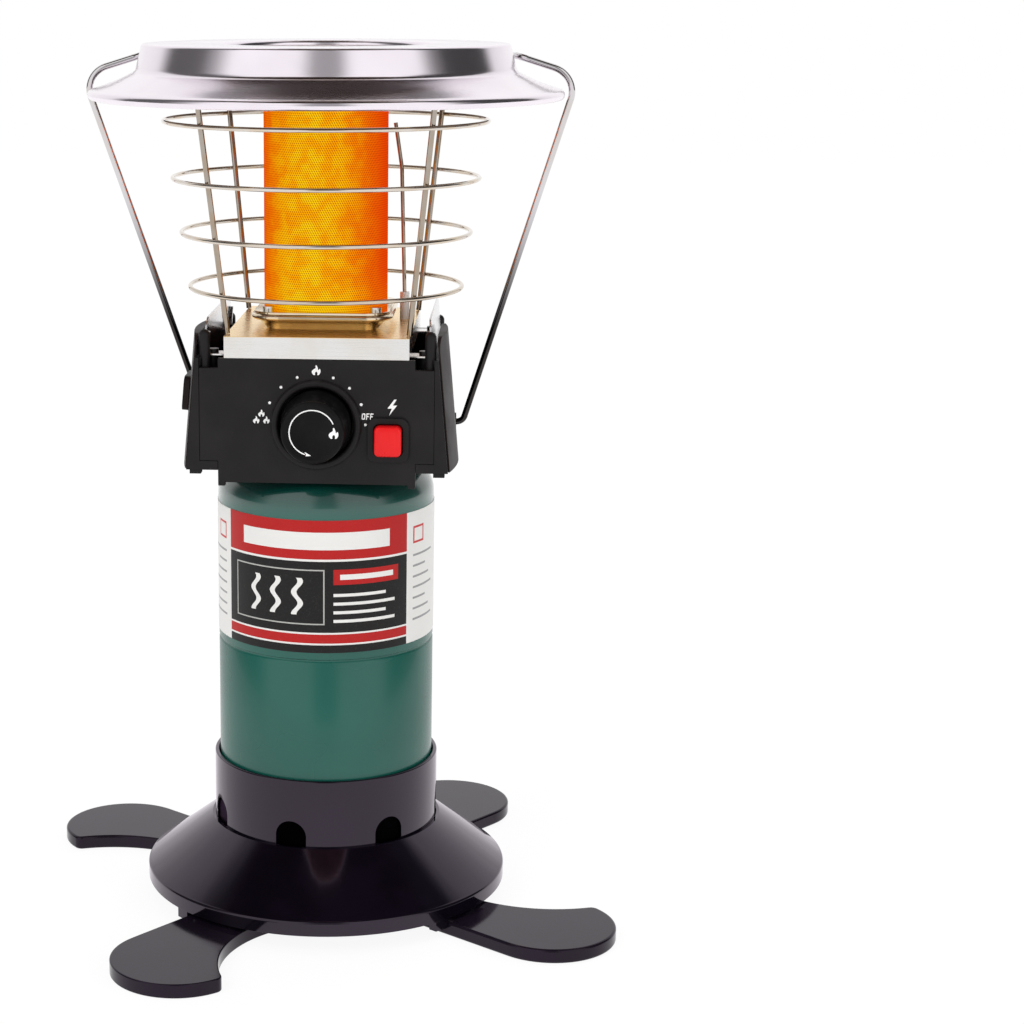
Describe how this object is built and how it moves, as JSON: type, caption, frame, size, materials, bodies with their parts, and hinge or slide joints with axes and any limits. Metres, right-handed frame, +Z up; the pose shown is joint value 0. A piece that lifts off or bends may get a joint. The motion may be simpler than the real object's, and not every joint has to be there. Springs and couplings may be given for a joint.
{
  "type": "portable propane heater",
  "caption": "Camping heater: glowing mesh burner in a wire guard under a spun metal hood, on a gas tank that stands in a stand with swing-out legs.",
  "frame": {"origin": "on the stand's axis at floor level", "axes": "+Z up along the tank's axis, -Y towards the side with the knob, +X to the right as seen from the front"},
  "size_m": [0.2738, 0.2738, 0.3972],
  "materials": {
    "stand_plastic": "moulded, high gloss black",
    "pin_steel": "plain steel",
    "tank_paint": "smooth green enamel",
    "label_print": "printed wrap-round label, red, dark and white fields",
    "brass": "turned brass",
    "housing_plastic": "fine-grained matte black",
    "knob_plastic": "satin black with printed arrow",
    "button_red": "glossy red",
    "cast_alloy": "die-cast grey alloy",
    "ivory_plastic": "moulded ivory",
    "lead_rubber": "insulated lead",
    "tray_steel": "bright sheet steel",
    "pan_steel": "polished deep-drawn steel",
    "screw_steel": "bright plated",
    "black_screw": "black oxide",
    "mesh_glow": "woven wire, glowing orange",
    "electrode_wire": "heat-tinted wire",
    "ceramic": "white glazed ceramic",
    "guard_steel": "polished stainless wire",
    "hood_aluminium": "spun and satin polished",
    "bail_steel": "polished wire"
  },
  "bodies": {
    "stand": {"stand_skirt": "stand_plastic", "stand_collar": "stand_plastic", "leg_pins": "pin_steel"},
    "leg_front_right": {"leg_front_right": "stand_plastic"},
    "leg_back_right": {"leg_back_right": "stand_plastic"},
    "leg_back_left": {"leg_back_left": "stand_plastic"},
    "leg_front_left": {"leg_front_left": "stand_plastic"},
    "tank": {"tank_body": "tank_paint", "tank_label": "label_print", "tank_valve": "brass"},
    "knob": {"knob": "knob_plastic", "valve_stem": "brass"},
    "igniter_button": {"igniter_button": "button_red"},
    "bail": {"bail": "bail_steel"},
    "head": {"housing_shell": "housing_plastic", "front_panel": "housing_plastic", "bottom_plate": "housing_plastic", "side_cover_right": "housing_plastic", "side_cover_left": "housing_plastic", "knob_bezel": "housing_plastic", "regulator_body": "cast_alloy", "inlet_socket": "brass", "gas_jet": "brass", "mixing_tube": "cast_alloy", "button_bezel": "housing_plastic", "button_spring": "pin_steel", "piezo_igniter": "ivory_plastic", "igniter_lead": "lead_rubber", "burner_tray": "tray_steel", "tray_screws": "black_screw", "burner_pan": "pan_steel", "burner_base": "tray_steel", "base_screws": "screw_steel", "inner_tube": "screw_steel", "burner_mesh": "mesh_glow", "burner_cap": "screw_steel", "spark_electrode": "electrode_wire", "electrode_insulator": "ceramic", "heat_shield_right": "tray_steel", "heat_shield_left": "tray_steel", "guard_rods": "guard_steel", "guard_ring_1": "guard_steel", "guard_ring_2": "guard_steel", "guard_ring_3": "guard_steel", "guard_ring_4": "guard_steel", "hood": "hood_aluminium", "hood_brim": "hood_aluminium", "hood_tabs": "tray_steel", "hood_rivets": "screw_steel", "bail_bushing_right": "housing_plastic", "bail_bushing_left": "housing_plastic"}
  },
  "joints": [
    {"name": "leg_front_right_fold", "type": "hinge", "parent": "stand", "child": "leg_front_right", "pos_m": [0.05258, -0.03286, 0], "axis": [0, 0, 1], "range_deg": [0, 90]},
    {"name": "leg_back_right_fold", "type": "hinge", "parent": "stand", "child": "leg_back_right", "pos_m": [0.03286, 0.05258, 0], "axis": [0, 0, 1], "range_deg": [0, 90]},
    {"name": "leg_back_left_fold", "type": "hinge", "parent": "stand", "child": "leg_back_left", "pos_m": [-0.05258, 0.03286, 0], "axis": [0, 0, 1], "range_deg": [0, 90]},
    {"name": "leg_front_left_fold", "type": "hinge", "parent": "stand", "child": "leg_front_left", "pos_m": [-0.03286, -0.05258, 0], "axis": [0, 0, 1], "range_deg": [0, 90]},
    {"name": "tank_lift", "type": "slide", "parent": "stand", "child": "tank", "axis": [0, 0, 1], "range_m": [0, 0.06]},
    {"name": "head_unscrew", "type": "hinge", "parent": "tank", "child": "head", "pos_m": [0, 0, 0.213], "axis": [0, 0, 1], "range_deg": [0, 360]},
    {"name": "knob_turn", "type": "hinge", "parent": "head", "child": "knob", "pos_m": [0, -0.05, 0.2341], "axis": [0, -1, 0], "range_deg": [0, 180]},
    {"name": "button_press", "type": "slide", "parent": "head", "child": "igniter_button", "axis": [0, 1, 0], "range_m": [0, 0.004], "stiffness_N_per_m": 1500, "springref_m": -0.002, "deforming": ["button_spring"]},
    {"name": "bail_swing", "type": "hinge", "parent": "head", "child": "bail", "pos_m": [0, 0.043, 0.2192], "axis": [-1, 0, 0], "range_deg": [0, 110]}
  ]
}
